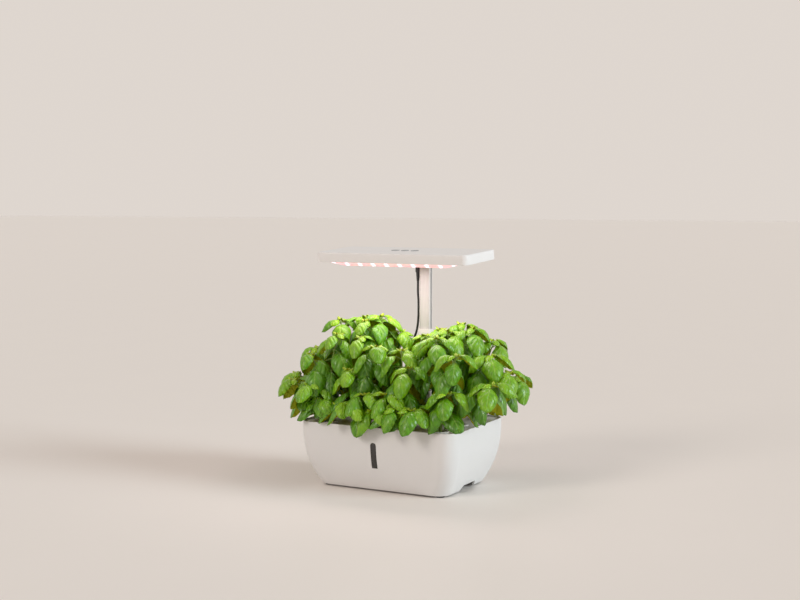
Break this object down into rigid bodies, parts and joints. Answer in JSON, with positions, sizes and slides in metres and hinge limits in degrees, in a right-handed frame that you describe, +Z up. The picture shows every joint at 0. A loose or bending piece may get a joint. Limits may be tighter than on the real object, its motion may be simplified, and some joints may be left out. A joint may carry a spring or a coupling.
{
  "type": "countertop hydroponic garden",
  "caption": "White countertop hydroponic garden: water tank with a planting deck and potted basil under a wide LED grow lamp on a height-adjustable pole.",
  "frame": {"origin": "middle of the object's outline on the table, under the middle of the tank", "axes": "+Z up; +X to the right along the tank's front; +Y to the back, where the pole stands; -Y is the front with the water window"},
  "size_m": [0.49, 0.3, 0.4109],
  "materials": {
    "shell_white": "satin white moulded",
    "window_smoke": "dark smoked, polished",
    "foot_rubber": "matt grey",
    "deck_white": "satin white moulded",
    "pot_white": "white moulded",
    "sponge_brown": "coarse dark brown sponge",
    "leaf_green": "glossy green leaves, pale stems",
    "pump_black": "black moulded",
    "ceramic_white": "polished ceramic",
    "rotor_grey": "moulded ferrite rotor with vanes",
    "suction_rubber": "black",
    "screw_steel": "plated",
    "board_green": "green circuit board",
    "board_white": "white circuit board",
    "contact_black": "black moulded connector",
    "sleeve_white": "satin white",
    "pole_metal": "satin pale beige-grey anodised, grooved",
    "glide_grey": "dark self-lubricating plastic",
    "head_white": "satin white moulded",
    "tray_clear": "clear, lightly frosted",
    "led_white": "glowing cool white",
    "led_red": "glowing red",
    "spreader_metal": "plain sheet",
    "key_grey": "smooth grey",
    "mat_grey": "silicone",
    "lead_black": "satin black"
  },
  "bodies": {
    "tank": {"tank": "shell_white", "window_lens": "window_smoke", "feet": "foot_rubber", "pump_housing": "pump_black", "pump_cover": "pump_black", "pump_shaft": "ceramic_white", "pump_outlet": "pump_black", "pump_cups": "suction_rubber", "pump_lead": "lead_black", "pole_base": "shell_white", "base_screws": "screw_steel", "power_board": "board_green", "dc_inlet": "contact_black", "lamp_socket": "contact_black", "pole_sleeve": "sleeve_white", "sleeve_collar": "sleeve_white", "lamp_lead": "lead_black", "lead_plug_base": "lead_black"},
    "deck": {"deck": "deck_white", "pot_front_1": "pot_white", "pot_front_2": "pot_white", "pot_front_3": "pot_white", "pot_front_4": "pot_white", "pot_middle_1": "pot_white", "pot_middle_2": "pot_white", "pot_middle_3": "pot_white", "pot_middle_4": "pot_white", "pot_rear_1": "pot_white", "pot_rear_2": "pot_white", "sponges": "sponge_brown", "basil_front_1": "leaf_green", "basil_front_2": "leaf_green", "basil_front_3": "leaf_green", "basil_front_4": "leaf_green", "basil_middle_1": "leaf_green", "basil_middle_2": "leaf_green", "basil_middle_3": "leaf_green", "basil_middle_4": "leaf_green", "basil_rear_1": "leaf_green", "basil_rear_2": "leaf_green"},
    "impeller": {"impeller": "rotor_grey"},
    "lamp_pole": {"pole": "pole_metal", "pole_glide": "glide_grey", "neck": "head_white", "lamp_jack": "contact_black", "lead_plug_top": "lead_black"},
    "lamp_head": {"hinge_pin": "screw_steel", "head_cover": "head_white", "head_frame": "head_white", "lamp_tray": "tray_clear", "led_board": "board_white", "leds_white": "led_white", "leds_red": "led_red", "heat_spreader": "spreader_metal", "key_board": "board_green", "key_mat": "mat_grey", "head_screws": "screw_steel"},
    "key_1": {"key_1": "key_grey"},
    "key_2": {"key_2": "key_grey"},
    "key_3": {"key_3": "key_grey"}
  },
  "joints": [
    {"name": "lamp_height", "type": "slide", "parent": "tank", "child": "lamp_pole", "axis": [0, 0, 1], "range_m": [-0.07, 0.02], "deforming": ["lamp_lead"]},
    {"name": "lamp_tilt", "type": "hinge", "parent": "lamp_pole", "child": "lamp_head", "pos_m": [0, 0.07385, 0.4004], "axis": [1, 0, 0], "range_deg": [-12, 12]},
    {"name": "deck_lift", "type": "slide", "parent": "tank", "child": "deck", "axis": [0, 0, 1], "range_m": [0, 0.06]},
    {"name": "impeller_spin", "type": "hinge", "parent": "tank", "child": "impeller", "pos_m": [-0.0715, 0.0365, 0.04], "axis": [0, 1, 0], "continuous": true},
    {"name": "key_1_press", "type": "slide", "parent": "lamp_head", "child": "key_1", "axis": [0, 0.0558, -0.9984], "range_m": [0, 0.0008], "stiffness_N_per_m": 800},
    {"name": "key_2_press", "type": "slide", "parent": "lamp_head", "child": "key_2", "axis": [0, 0.0558, -0.9984], "range_m": [0, 0.0008], "stiffness_N_per_m": 800},
    {"name": "key_3_press", "type": "slide", "parent": "lamp_head", "child": "key_3", "axis": [0, 0.0558, -0.9984], "range_m": [0, 0.0008], "stiffness_N_per_m": 800}
  ]
}
